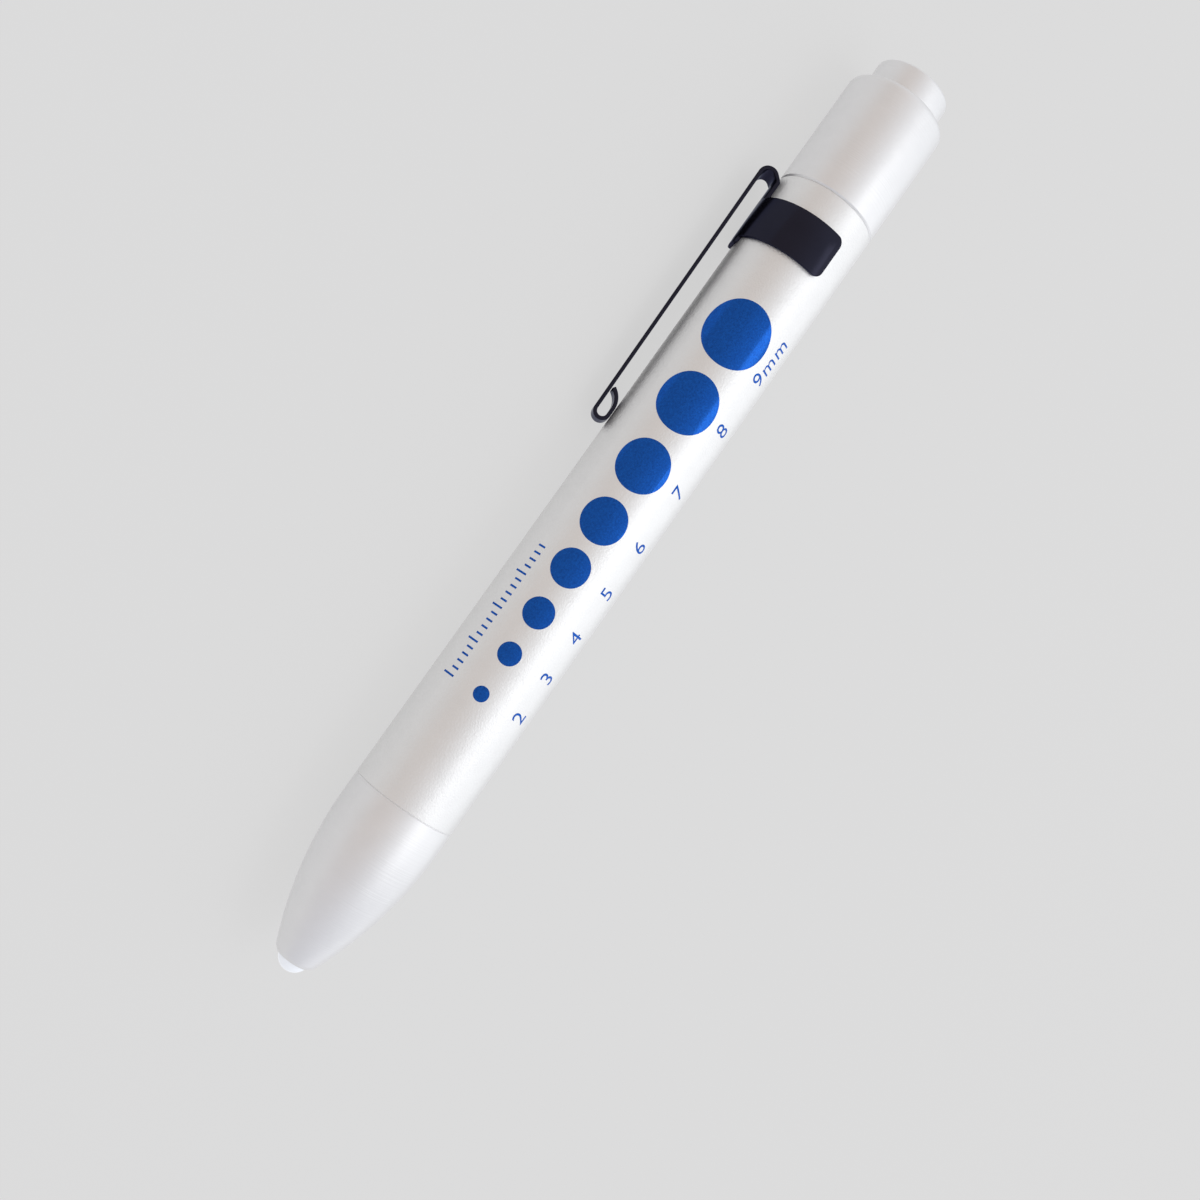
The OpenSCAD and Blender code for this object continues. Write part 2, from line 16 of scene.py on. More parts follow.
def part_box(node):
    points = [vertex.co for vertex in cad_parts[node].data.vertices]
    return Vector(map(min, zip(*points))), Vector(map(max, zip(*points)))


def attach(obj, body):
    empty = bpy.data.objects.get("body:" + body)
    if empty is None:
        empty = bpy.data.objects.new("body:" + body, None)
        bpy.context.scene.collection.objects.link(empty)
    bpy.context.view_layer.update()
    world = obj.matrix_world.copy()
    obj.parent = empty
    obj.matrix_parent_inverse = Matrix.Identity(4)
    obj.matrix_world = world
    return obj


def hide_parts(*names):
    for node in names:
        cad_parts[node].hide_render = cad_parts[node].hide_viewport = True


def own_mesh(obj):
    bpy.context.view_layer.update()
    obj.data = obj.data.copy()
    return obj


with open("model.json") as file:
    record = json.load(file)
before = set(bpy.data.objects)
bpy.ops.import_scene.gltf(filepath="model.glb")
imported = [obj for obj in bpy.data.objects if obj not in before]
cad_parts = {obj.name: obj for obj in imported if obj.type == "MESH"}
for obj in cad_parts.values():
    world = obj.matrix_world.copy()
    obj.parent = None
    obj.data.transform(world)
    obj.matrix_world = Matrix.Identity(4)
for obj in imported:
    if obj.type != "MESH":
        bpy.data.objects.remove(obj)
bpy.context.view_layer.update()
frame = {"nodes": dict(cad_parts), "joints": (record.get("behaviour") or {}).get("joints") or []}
nodes = frame["nodes"]

# %% [markdown]
# ## The pen's own coordinates
# A turner measures a pen along its axis, so this script does too: millimetres behind the rim of the nose,
# with x towards the clip. One matrix then lays a finished mesh down where the CAD model has it. The axis
# comes from the clip's hinge in the record, and the rim from the nose's box. How far the pen is rolled
# follows from how it lies: on the round band and on the edge of the clip.

# %% Pen coordinates
MM = 0.001
joints = {joint["name"]: joint for joint in frame["joints"]}
rim = Vector(joints["clip_swivel"]["pos_m"])
rim.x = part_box("nose_cone")[1].x


def along(node):
    """Front and rear end of a CAD node, in mm behind the rim of the nose."""
    low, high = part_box(node)
    return round((rim.x - high.x) / MM, 2), round((rim.x - low.x) / MM, 2)


def radius(node):
    """Greatest radius of a turned CAD node, in mm."""
    low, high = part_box(node)
    return round((high.z - low.z) / 2 / MM, 1)


sheet_t = 0.5
clip_gap = 1.8
clip_w = 4.2
run_gap = 0.05
crown_lift = 0.02
body_r = radius("barrel")
band_r = body_r + run_gap + sheet_t
base_h = body_r + run_gap + crown_lift
clip_top = base_h + 2 * sheet_t + clip_gap
roll = math.asin(band_r / math.hypot(clip_top, clip_w / 2)) - math.atan2(clip_w / 2, clip_top)
pen_axes = Matrix((
    (0, 0, -1),
    (-math.cos(roll), -math.sin(roll), 0),
    (-math.sin(roll), math.cos(roll), 0),
))
pen = Matrix.Translation(rim) @ pen_axes.to_4x4() @ Matrix.Scale(MM, 4)
print(f"body radius {body_r} mm, rolled {math.degrees(roll):.2f} degrees")

# %% [markdown]
# ## The camera
# The photograph is a steep, close view. A pinhole camera was fitted to the printed dots and the seams, and
# four sizes describe it: the place on the pen that it faces squarely, its distance from the axis, the angle
# round the pen between the clip and the view, and the point it aims at. The tilt is the pen's slope in the
# picture.

# %% Camera
view_angle = math.radians(86.8)
view_foot = 44.62
view_distance = 171.67
view_aim = 57.64
view_aside = 5.305
view_tilt = math.radians(54.735)
focal_px = 1374.5
photo_px = 1200

tailwards = pen_axes @ Vector((0, 0, 1))
facing = pen_axes @ Vector((math.cos(view_angle), math.sin(view_angle), 0))
clipwards = facing.cross(tailwards)
eye = rim + MM * (view_foot * tailwards + view_distance * facing)
aim = rim + MM * (view_aim * tailwards - view_aside * clipwards)
forward = (aim - eye).normalized()
upwards = math.sin(view_tilt) * tailwards + math.cos(view_tilt) * clipwards
right = forward.cross(upwards).normalized()
upwards = right.cross(forward)

camera = bpy.data.objects.new("camera", bpy.data.cameras.new("camera"))
camera.matrix_world = Matrix.Translation(eye) @ Matrix((right, upwards, -forward)).transposed().to_4x4()
camera.data.sensor_fit = "HORIZONTAL"
camera.data.lens = focal_px / photo_px * camera.data.sensor_width
camera.data.clip_start = 0.01
bpy.context.scene.collection.objects.link(camera)
bpy.context.scene.camera = camera
view_height = math.degrees(math.asin(facing.z))
print(f"lens {camera.data.lens:.2f} mm, camera {view_height:.1f} degrees above the table")

# %% [markdown]
# ## Colours and nodes
# Colours are written as sRGB hex values, as a paint card or a picture gives them. Blender computes in linear
# light, so one function converts them. A second small function adds a node: plain values are set on its
# sockets, and a socket of another node is linked.


# %% Colour and node helpers
def linear(hex_colour):
    """Linear RGBA of an sRGB hex colour such as #d9dadc."""
    channels = [int(hex_colour[i:i + 2], 16) / 255 for i in (1, 3, 5)]
    return [c / 12.92 if c <= 0.04045 else ((c + 0.055) / 1.055) ** 2.4 for c in channels] + [1]


def add(tree, kind, sockets=None, **settings):
    """Add a node with its settings, and set or link its input sockets."""
    node = tree.nodes.new(kind)
    for name, value in settings.items():
        setattr(node, name, value)
    for name, value in (sockets or {}).items():
        if isinstance(value, bpy.types.NodeSocket):
            tree.links.new(value, node.inputs[name])
        else:
            node.inputs[name].default_value = value
    return node


print("mid grey is", [round(c, 3) for c in linear("#808080")])

# %% [markdown]
# ## Table and light
# The picture was cut out on a flat light grey, so the table has that colour. Part of what is seen of it is
# a steady glow, which keeps the grey even, and the rest is lit, which keeps a soft shadow. Satin metal shows
# its room, so the room matters most here: white behind the pen, and a little darker and warmer on the
# camera's side. A softbox overhead makes the white streak along the barrel, a pale panel behind the pen
# carries it on to the edge, and a faint one beyond the nose keeps the slope of the ogive light.

# %% Table and room
backdrop = linear("#dedede")
table_half = 4.0
table_drop = 0.01 * MM
glow_share = 0.8
camera_wall = linear("#cfc5be")
rear_wall = linear("#eff1f4")
nose_wall = linear("#d3d4da")
rear_fade = (-0.9, 0.2)
nose_fade = (0.1, 0.8)

bm = bmesh.new()
bmesh.ops.create_grid(bm, x_segments=1, y_segments=1, size=table_half)
bmesh.ops.translate(bm, vec=(0, 0, -table_drop), verts=bm.verts)
table_mesh = bpy.data.meshes.new("table")
bm.to_mesh(table_mesh)
bm.free()
table = bpy.data.objects.new("table", table_mesh)
bpy.context.scene.collection.objects.link(table)

paper = bpy.data.materials.new("paper_backdrop")
paper.use_nodes = True
tree = paper.node_tree
tree.nodes.clear()
path = add(tree, "ShaderNodeLightPath").outputs
eye_or_gloss = add(tree, "ShaderNodeMath", {0: path["Is Camera Ray"], 1: path["Is Glossy Ray"]},
                   operation="MAXIMUM")
seen = add(tree, "ShaderNodeMath", {0: eye_or_gloss.outputs[0], 1: path["Is Transmission Ray"]},
           operation="MAXIMUM")
share = add(tree, "ShaderNodeMath", {0: seen.outputs[0], 1: glow_share}, operation="MULTIPLY")
lit = add(tree, "ShaderNodeBsdfDiffuse", {"Color": backdrop})
glow = add(tree, "ShaderNodeEmission", {"Color": backdrop, "Strength": 1.0})
mixed = add(tree, "ShaderNodeMixShader", {"Fac": share.outputs[0], 1: lit.outputs[0], 2: glow.outputs[0]})
add(tree, "ShaderNodeOutputMaterial", {"Surface": mixed.outputs[0]})
table_mesh.materials.append(paper)

world = bpy.data.worlds.new("grey_room")
bpy.context.scene.world = world
world.use_nodes = True
tree = world.node_tree
tree.nodes.clear()
way = add(tree, "ShaderNodeSeparateXYZ", {0: add(tree, "ShaderNodeTexCoord").outputs["Generated"]})
rearward = add(tree, "ShaderNodeMapRange", {
    "Value": way.outputs["Y"], "From Min": rear_fade[0], "From Max": rear_fade[1]},
    interpolation_type="SMOOTHSTEP")
walls = add(tree, "ShaderNodeMix", {
    "Factor": rearward.outputs["Result"], "A": camera_wall, "B": rear_wall}, data_type="RGBA")
noseward = add(tree, "ShaderNodeMapRange", {
    "Value": way.outputs["X"], "From Min": nose_fade[0], "From Max": nose_fade[1]},
    interpolation_type="SMOOTHSTEP")
cooled = add(tree, "ShaderNodeMix", {
    "Factor": noseward.outputs["Result"], "A": walls.outputs["Result"], "B": nose_wall}, data_type="RGBA")
room = add(tree, "ShaderNodeBackground", {"Color": cooled.outputs["Result"], "Strength": 1.0})
add(tree, "ShaderNodeOutputWorld", {"Surface": room.outputs[0]})
print("table in linear grey", round(backdrop[0], 3))


# %% Softboxes
def softbox(name, way, aside, length, width, radiance, distance=0.6):
    """A rectangular lamp of that radiance on a way from the pen, with its length square to that way."""
    lamp = bpy.data.lights.new(name, "AREA")
    lamp.shape = "RECTANGLE"
    lamp.size = length
    lamp.size_y = width
    lamp.energy = radiance * math.pi * length * width
    holder = bpy.data.objects.new(name, lamp)
    way = Vector(way).normalized()
    side = Vector((way.y, -way.x, 0)).normalized()
    turned = Matrix((side, way.cross(side), way)).transposed().to_4x4()
    holder.matrix_world = Matrix.Translation(distance * way + aside * side) @ turned
    bpy.context.scene.collection.objects.link(holder)
    print(name, round(lamp.energy, 3), "W")


def behind(degrees):
    """The way to a lamp behind the pen, at that elevation above the table."""
    return 0, math.cos(math.radians(degrees)), math.sin(math.radians(degrees))


softbox("overhead_softbox", behind(73), aside=-0.09, length=0.6, width=0.21, radiance=1.0)
softbox("rear_panel", behind(32), aside=-0.09, length=0.6, width=0.72, radiance=0.26)
softbox("nose_panel", (1, 0.8, 0.25), aside=0, length=0.5, width=0.3, radiance=0.2)
bpy.context.scene.view_settings.view_transform = "Standard"

# %% [markdown]
# ## Finishes
# Nearly every finish here is one colour with a fine grain: blasted, turned, drawn, moulded or plated. So one
# function makes the grain, from a real grain size and depth in millimetres, and lets it work three ways: as
# bumps, as a slight change of gloss and as a slight change of shade. A squeeze of 0 across the pen stretches
# the grain into rings, as a lathe tool leaves them.


# %% Finish helper
def finish(name, colours, roughness, grain, depth, squeeze=(1, 1, 1), mottle=2.0, **sockets):
    """A material of two near shades, a grain of that size and depth in mm, and two limits of roughness."""
    material = bpy.data.materials.new(name)
    material.use_nodes = True
    tree = material.node_tree
    shader = tree.nodes["Principled BSDF"]
    place = add(tree, "ShaderNodeTexCoord").outputs["Object"]
    laid = add(tree, "ShaderNodeMapping", {"Vector": place, "Scale": squeeze}).outputs[0]
    fine = add(tree, "ShaderNodeTexNoise", {"Vector": laid, "Scale": 1 / (grain * MM), "Detail": 3.0})
    broad = add(tree, "ShaderNodeTexNoise", {"Vector": place, "Scale": 1 / (mottle * MM), "Detail": 2.0})
    shade = add(tree, "ShaderNodeMix", {
        "Factor": broad.outputs["Fac"], "A": linear(colours[0]), "B": linear(colours[1])}, data_type="RGBA")
    gloss = add(tree, "ShaderNodeMapRange", {
        "Value": fine.outputs["Fac"], "To Min": roughness[0], "To Max": roughness[1]})
    bump = add(tree, "ShaderNodeBump", {
        "Height": fine.outputs["Fac"], "Strength": 1.0, "Distance": depth * MM})
    tree.links.new(shade.outputs["Result"], shader.inputs["Base Color"])
    tree.links.new(gloss.outputs["Result"], shader.inputs["Roughness"])
    tree.links.new(bump.outputs["Normal"], shader.inputs["Normal"])
    for socket, value in sockets.items():
        shader.inputs[socket.replace("_", " ")].default_value = value
    return material


print("finishes are made by", finish.__name__)

# %% [markdown]
# ## Metals
# The body is aluminium, turned on a lathe, blasted with glass beads and anodised clear. The oxide keeps the
# matt pits and greys the metal a little. The nose, the cap and the button keep fine turning rings. Springs
# are drawn wire, the cells are deep-drawn cans with bright nickel, and the plunger is turned brass.

# %% Metals
# Blasted, then anodised clear: shallow pits spread each light into a soft satin band, and the oxide
# scatters a little of it. The pits are a tenth of a millimetre wide. They are drawn twice as wide and
# deeper, so that they show.
blasted_aluminium = finish("aluminium_bead_blasted_anodised", ("#f5f5f5", "#f0f0f0"), (0.42, 0.50),
                           grain=0.22, depth=0.045, Metallic=0.86)
# Turned, then anodised clear: fine rings smear a light across the surface. They are drawn coarser and
# deeper too.
turned_aluminium = finish("aluminium_turned_anodised", ("#f5f5f6", "#f0f0f1"), (0.40, 0.50),
                          grain=0.26, depth=0.025, squeeze=(1, 0, 0), Metallic=0.86)
# Drawn through a die, then cleaned: a bright grey wire with a slightly broken gloss.
drawn_spring_steel = finish("spring_steel_drawn", ("#c3c5c8", "#b1b3b7"), (0.20, 0.30),
                            grain=0.20, depth=0.002, Metallic=1.0)
# Pressed and hot-dipped: tin flows smooth and stays soft and white.
tinned_steel = finish("steel_hot_tinned", ("#d6d7d8", "#c6c8ca"), (0.24, 0.36),
                      grain=0.30, depth=0.004, Metallic=1.0)
# Deep-drawn and barrel-plated: the yellowish white of nickel, nearly a mirror.
nickel_plate = finish("steel_nickel_plated", ("#d9d4ca", "#cfcabf"), (0.12, 0.20),
                      grain=0.25, depth=0.001, Metallic=1.0)
# Turned from rod and left bare: warm yellow with rings from the tool.
turned_brass = finish("brass_turned", ("#dcbb6e", "#cfa858"), (0.18, 0.30),
                      grain=0.16, depth=0.003, squeeze=(1, 0, 0), Metallic=1.0)
print("metals:", blasted_aluminium.name, turned_aluminium.name, drawn_spring_steel.name)

# %% [markdown]
# ## Coatings and plastics
# The clip is spring steel, blackened in a hot salt bath, and the gauge is pad-printed ink that dries to a
# glossy film. The lens is moulded acrylic, milky so that it spreads the beam. The other plastics are hidden
# until the pen is opened: nylon, a solder-masked board and the shrink sleeves of the cells.

# %% Coatings and plastics
# Blackened in a hot bath and oiled: nearly black with a breath of blue, and the oil lifts it at a slant.
black_coat = finish("spring_steel_hot_blackened", ("#272733", "#2b2b38"), (0.17, 0.22),
                    grain=0.35, depth=0.002, Metallic=0.8, Specular_Tint=linear("#9a9eb4"))
# Pad-printed and dried: a deep blue film, glossier than the metal round it. It dries thicker in the pits of
# the blasted metal, which speckles it. The speckle is drawn twice as coarse as the pits, so that it shows.
blue_ink = finish("ink_pad_printed_blue", ("#0c3a8a", "#1f6dd6"), (0.15, 0.20), grain=0.12,
                  depth=0.001, mottle=0.22, Metallic=0.8, Specular_IOR_Level=0.3)
# Moulded with a little white in it: glossy outside, and milky inside. Light wanders through its body and
# evens out its shaded side; a faint painted glow stands in for that, so the lens glows although it is no
# lamp.
milky_acrylic_painted_glow = finish("acrylic_moulded_milky_painted_glow", ("#d9dde3", "#d4d8de"), (0.10, 0.16), grain=1.2,
                       depth=0.001, IOR=1.49, Emission_Color=linear("#f0f4fa"), Emission_Strength=0.35)
# Cast in a smooth cup: water-clear epoxy.
clear_epoxy = finish("epoxy_cast_clear", ("#f6f8f7", "#eef3f2"), (0.03, 0.06), grain=2.0, depth=0.001,
                     Transmission_Weight=1.0, IOR=1.54)
# Silicone filled with phosphor powder: matt egg yellow.
phosphor_fill = finish("silicone_phosphor_filled", ("#ecd04a", "#dfbf36"), (0.55, 0.70), grain=0.12,
                       depth=0.004)
# Injection-moulded: off-white, with the soft edge of light that passes through nylon.
moulded_nylon = finish("nylon_moulded_white", ("#ebe7da", "#e3dfd1"), (0.42, 0.55), grain=0.40,
                       depth=0.004, Subsurface_Weight=0.15, Subsurface_Scale=0.001)
# The same with carbon black in it: matt, and no light passes through.
black_nylon = finish("nylon_moulded_black", ("#232327", "#1d1d20"), (0.45, 0.58), grain=0.40, depth=0.004)
# Woven glass and epoxy under a sprayed solder mask: the weave just shows through the green.
masked_board = finish("glass_epoxy_green_mask", ("#1f6a3c", "#185a32"), (0.22, 0.34), grain=0.45,
                      depth=0.006)
# Pressed alumina with a dark glaze: nearly black, with a dull gloss.
glazed_ceramic = finish("ceramic_glazed_dark", ("#202124", "#2a2b2e"), (0.25, 0.38), grain=0.20,
                        depth=0.003)
# Shrunk on with heat: tight thin film with long faint ripples round the can.
shrink_sleeve = finish("pvc_shrink_sleeve", ("#3b4046", "#33383e"), (0.20, 0.30), grain=3.0, depth=0.010,
                       squeeze=(1, 0.3, 0.3), Coat_Weight=0.3)
print("coatings and plastics:", black_coat.name, blue_ink.name, milky_acrylic_painted_glow.name)

# %% [markdown]
# ## Finishes on the CAD pieces
# The pieces inside the body have simple true shapes in the CAD model, so they stay as they are and only get
# their finish.

# %% Dress the inner pieces
inner_finish = {
    "led_body": clear_epoxy,
    "led_lead_frame": tinned_steel,
    "led_chip": phosphor_fill,
    "led_holder": moulded_nylon,
    "led_board": masked_board,
    "chip_resistor": glazed_ceramic,
    "guide_sleeve": moulded_nylon,
    "snap_ring": drawn_spring_steel,
    "contact_plunger": turned_brass,
}
for cell in ("front_cell", "rear_cell"):
    inner_finish[cell + "_can"] = nickel_plate
    inner_finish[cell + "_base"] = nickel_plate
    inner_finish[cell + "_seal"] = black_nylon
    inner_finish[cell + "_sleeve"] = shrink_sleeve
for name, material in inner_finish.items():
    nodes[name].data.materials.clear()
    nodes[name].data.materials.append(material)
print("dressed", len(inner_finish), "CAD pieces")

# %% [markdown]
# ## From a mesh to a piece
# Each new piece is a mesh in pen millimetres until it is finished. Then it is laid down in the frame, shaded
# smooth with its sharp edges kept, and tied to the body that it moves with. If it stands for a CAD piece,
# that one is hidden.

# %% Piece helper
sharp_angle = math.radians(35)


def lay_down(bm, name, body, material, stands_for=None):
    """Lay a mesh in pen millimetres down in the frame, as a piece that rides on a body."""
    bmesh.ops.transform(bm, matrix=pen, verts=bm.verts)
    mesh = bpy.data.meshes.new(name)
    bm.to_mesh(mesh)
    bm.free()
    mesh.shade_smooth()
    mesh.set_sharp_from_angle(angle=sharp_angle)
    mesh.materials.append(material)
    piece = bpy.data.objects.new(name, mesh)
    bpy.context.scene.collection.objects.link(piece)
    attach(piece, body)
    if stands_for:
        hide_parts(stands_for)
    print(name, "has", len(mesh.polygons), "faces and rides on", body)
    return piece


# %% [markdown]
# ## Turned pieces
# A lathe cuts one profile all the way round, and Spin does the same. The profile is a wire of straight cuts,
# and an arc where the tool swings round a centre. A third number on a corner breaks its edge by that much.
# A hollow piece has a closed profile. A profile that starts and ends on the axis is left open there.

# %% Lathe helper
weld_gap = 1e-4


def turn(profile, closed=True, steps=160):
    """Spin a profile of corners (along, radius, broken edge) and arcs (along, radius, degrees, steps)."""
    bm = bmesh.new()
    broken = {}
    tip = None
    for z, r, *rest in profile:
        if len(rest) == 2:
            swung = bmesh.ops.spin(bm, geom=[tip], cent=(r, 0, z), axis=(0, 1, 0),
                                   angle=math.radians(rest[0]), steps=rest[1])
            tip = swung["geom_last"][0]
            continue
        corner = bm.verts.new((r, 0, z))
        if tip:
            bm.edges.new((tip, corner))
        if rest:
            broken.setdefault(rest[0], []).append(corner)
        tip = corner
    if closed:
        bm.verts.ensure_lookup_table()
        bm.edges.new((tip, bm.verts[0]))
    for edge, corners in broken.items():
        bmesh.ops.bevel(bm, geom=corners, offset=edge, segments=4, profile=0.5, affect="VERTICES",
                        material=-1)
    bmesh.ops.spin(bm, geom=bm.verts[:] + bm.edges[:], cent=(0, 0, 0), axis=(0, 0, 1), angle=math.tau,
                   steps=steps, use_merge=True)
    bmesh.ops.remove_doubles(bm, verts=bm.verts, dist=weld_gap)
    bmesh.ops.recalc_face_normals(bm, faces=bm.faces)
    return bm


print("turned pieces are made by", turn.__name__)

# %% [markdown]
# ## Barrel
# The barrel is a tube with a reduced neck at each end, for the threads of the nose and the cap. Its two
# shoulders have small broken edges. Together with the same edges on the nose and the cap they make the thin
# grey seams of the photograph. The nose is screwed up tight, and the cap, which comes off for new cells,
# stops a hair short, so that its seam is the darker one.

# %% Barrel
neck_l = 6.0
nose_chamfer = 0.1
cap_chamfer = 0.2
cap_groove = 0.16
cap_clearance = 0.02
bore_r = 5.4
bore_edge = 0.1
neck_r = 5.95
neck_edge = 0.2
barrel_front, barrel_rear = along("barrel")
nose_seam = barrel_front + neck_l
cap_seam = barrel_rear - neck_l
lay_down(turn([
    (barrel_front, bore_r, bore_edge),
    (barrel_front, neck_r, neck_edge),
    (nose_seam, neck_r),
    (nose_seam, body_r - nose_chamfer),
    (nose_seam + nose_chamfer, body_r),
    (cap_seam - cap_chamfer, body_r),
    (cap_seam, body_r - cap_groove),
    (cap_seam, neck_r),
    (barrel_rear, neck_r, neck_edge),
    (barrel_rear, bore_r, bore_edge),
]), "barrel_tube", "pen_body", blasted_aluminium, "barrel")
print(f"seams {nose_seam:.2f} and {cap_seam:.2f} mm behind the rim")

# %% [markdown]
# ## Nose and lens
# The nose is an ogive: a short straight land behind, then one long arc down to a small rim with a broken
# edge. The arc has to meet the land without a kink, so its centre lies straight below the end of the land.
# Stepped bores hold the lens, the diode, its bush and the board. The lens is a short milky rod with a
# half-round front and a flange.

# %% Nose and lens
land_z = 20.5
rim_r = 2.55
rim_front = 0.08
rim_edge = 0.55
rim_land = 0.2
rim_break = 0.08
rim_bevel = 0.25
lens_r = 2.1
ogive_r = (land_z ** 2 + (body_r - rim_r) ** 2) / (2 * (body_r - rim_r))
ogive_angle = math.degrees(math.asin((land_z - rim_edge) / ogive_r))
ogive_steps = 48
lens_stop = 1.3
diode_r = 2.55
diode_stop = 10.1
bush_r = 4.25
bush_stop = 16.2
mouth_r = 6.3
seat_gap = 0.05
lay_down(turn([
    (nose_seam, mouth_r),
    (nose_seam, body_r - nose_chamfer),
    (nose_seam - nose_chamfer, body_r),
    (land_z, body_r),
    (land_z, body_r - ogive_r, ogive_angle, ogive_steps),
    (rim_front, lens_r + rim_land, rim_break),
    (rim_front + rim_bevel, lens_r + run_gap),
    (lens_stop, lens_r + run_gap),
    (lens_stop, diode_r),
    (diode_stop, diode_r),
    (diode_stop, bush_r),
    (bush_stop, bush_r),
    (bush_stop, neck_r),
    (barrel_front - seat_gap, neck_r),
    (barrel_front - seat_gap, mouth_r),
]), "nose_ogive", "pen_body", turned_aluminium, "nose_cone")

flange_r = radius("lens")
flange_l = 0.8
flange_edge = 0.1
dome_steps = 24
lens_front, lens_rear = along("lens")
dome_z = round(lens_front + lens_r, 3)
lay_down(turn([
    (lens_front, 0),
    (dome_z, 0, -90, dome_steps),
    (lens_rear - flange_l, lens_r),
    (lens_rear - flange_l, flange_r, flange_edge),
    (lens_rear, flange_r, flange_edge),
    (lens_rear, 0),
], closed=False, steps=96), "lens_dome", "pen_body", milky_acrylic_painted_glow, "lens")
print(f"ogive radius {ogive_r:.2f} mm, lens stands {-lens_front:.2f} mm out of the rim")

# %% [markdown]
# ## Tail cap and button
# The cap is a cup that screws on, with a groove for the snap ring and a hole for the button. The button is a
# hollow cup too. Its shoulder keeps it in the cap, and a boss inside takes the brass plunger. Both have
# rounded outer edges, which catch the light as thin bright rings.

# %% Tail cap and button
cap_edge = 0.8
mouth_edge = 0.1
cavity_r = 5.7
groove_depth = 0.35
hole_r = 5.3
hole_edge = 0.12
shoulder_l = 1.0
shoulder_step = 0.4
shoulder_edge = 0.1
cap_front, cap_rear = along("tail_cap")
snap_front, snap_rear = along("snap_ring")
button_front, button_rear = along("button")
shoulder_rear = button_front + shoulder_l
cap_lip = cap_front + cap_clearance
lay_down(turn([
    (cap_lip, mouth_r, mouth_edge),
    (cap_lip, body_r - cap_groove),
    (cap_lip + cap_chamfer, body_r),
    (cap_rear, body_r, cap_edge),
    (cap_rear, hole_r, hole_edge),
    (shoulder_rear + seat_gap, hole_r),
    (shoulder_rear + seat_gap, cavity_r),
    (snap_rear + seat_gap, cavity_r),
    (snap_rear + seat_gap, cavity_r + groove_depth),
    (snap_front - seat_gap, cavity_r + groove_depth),
    (snap_front - seat_gap, cavity_r),
    (barrel_rear + seat_gap, cavity_r),
    (barrel_rear + seat_gap, mouth_r),
]), "tail_cap_cup", "tail_cap", turned_aluminium, "tail_cap")

button_r = hole_r - run_gap
button_wall = 0.9
button_top = 1.2
button_edge = 0.4
boss_r = 2.5
pin_r = 1.52
lay_down(turn([
    (button_rear, 0),
    (button_rear, button_r, button_edge),
    (shoulder_rear, button_r),
    (shoulder_rear, button_r + shoulder_step),
    (button_front, button_r + shoulder_step, shoulder_edge),
    (button_front, button_r - button_wall),
    (button_rear - button_top, button_r - button_wall),
    (button_rear - button_top, boss_r),
    (shoulder_rear + seat_gap, boss_r),
    (shoulder_rear + seat_gap, pin_r),
    (button_rear - button_top, pin_r),
    (button_rear - button_top, 0),
], closed=False), "button_cup", "button", turned_aluminium, "button")
print(f"button stands {button_rear - cap_rear:.2f} mm out of the cap")

# %% [markdown]
# ## Threads
# The necks carry single-start right-hand threads with a pitch of 1 mm. The CAD model keeps them plain at the
# root. Here one small ridge is swept along a helix: Spin with a step along the axis does that. At both ends
# the ridge sinks into the neck, as a thread does where the tool leaves it.

# %% Threads
ridge_sink = 0.15
foot_half = 0.42
root_half = 0.34
crest_half = 0.08
fade_l = 0.4
fade_least = 0.3


def thread(front, turns, root_r, crest_r, pitch=1.0, steps=64):
    """Sweep one ridge along a right-hand helix and let both its ends sink into the neck."""
    bm = bmesh.new()
    below = root_r - ridge_sink
    outline = [(below, -foot_half), (below, foot_half), (root_r, root_half),
               (crest_r, crest_half), (crest_r, -crest_half), (root_r, -root_half)]
    corners = [bm.verts.new((r, 0, front + z)) for r, z in outline]
    ridge = bm.faces.new(corners)
    bmesh.ops.spin(bm, geom=[ridge], cent=(0, 0, 0), axis=(0, 0, 1), angle=math.tau * turns,
                   dvec=(0, 0, pitch / steps), steps=round(turns * steps))
    rear = front + turns * pitch
    for vert in bm.verts:
        r = math.hypot(vert.co.x, vert.co.y)
        fade = min(vert.co.z - front + fade_l, rear + fade_l - vert.co.z, 1)
        sunk = below + (r - below) * max(fade, fade_least)
        vert.co.x *= sunk / r
        vert.co.y *= sunk / r
    bmesh.ops.recalc_face_normals(bm, faces=bm.faces)
    return bm


thread_inset = 0.9
thread_turns = neck_l - 2 * thread_inset
crest_r = 6.2
thread_fronts = {"nose_thread": barrel_front + thread_inset, "cap_thread": cap_seam + thread_inset}
for name, front in thread_fronts.items():
    lay_down(thread(front, thread_turns, neck_r, crest_r), name, "pen_body", turned_aluminium)
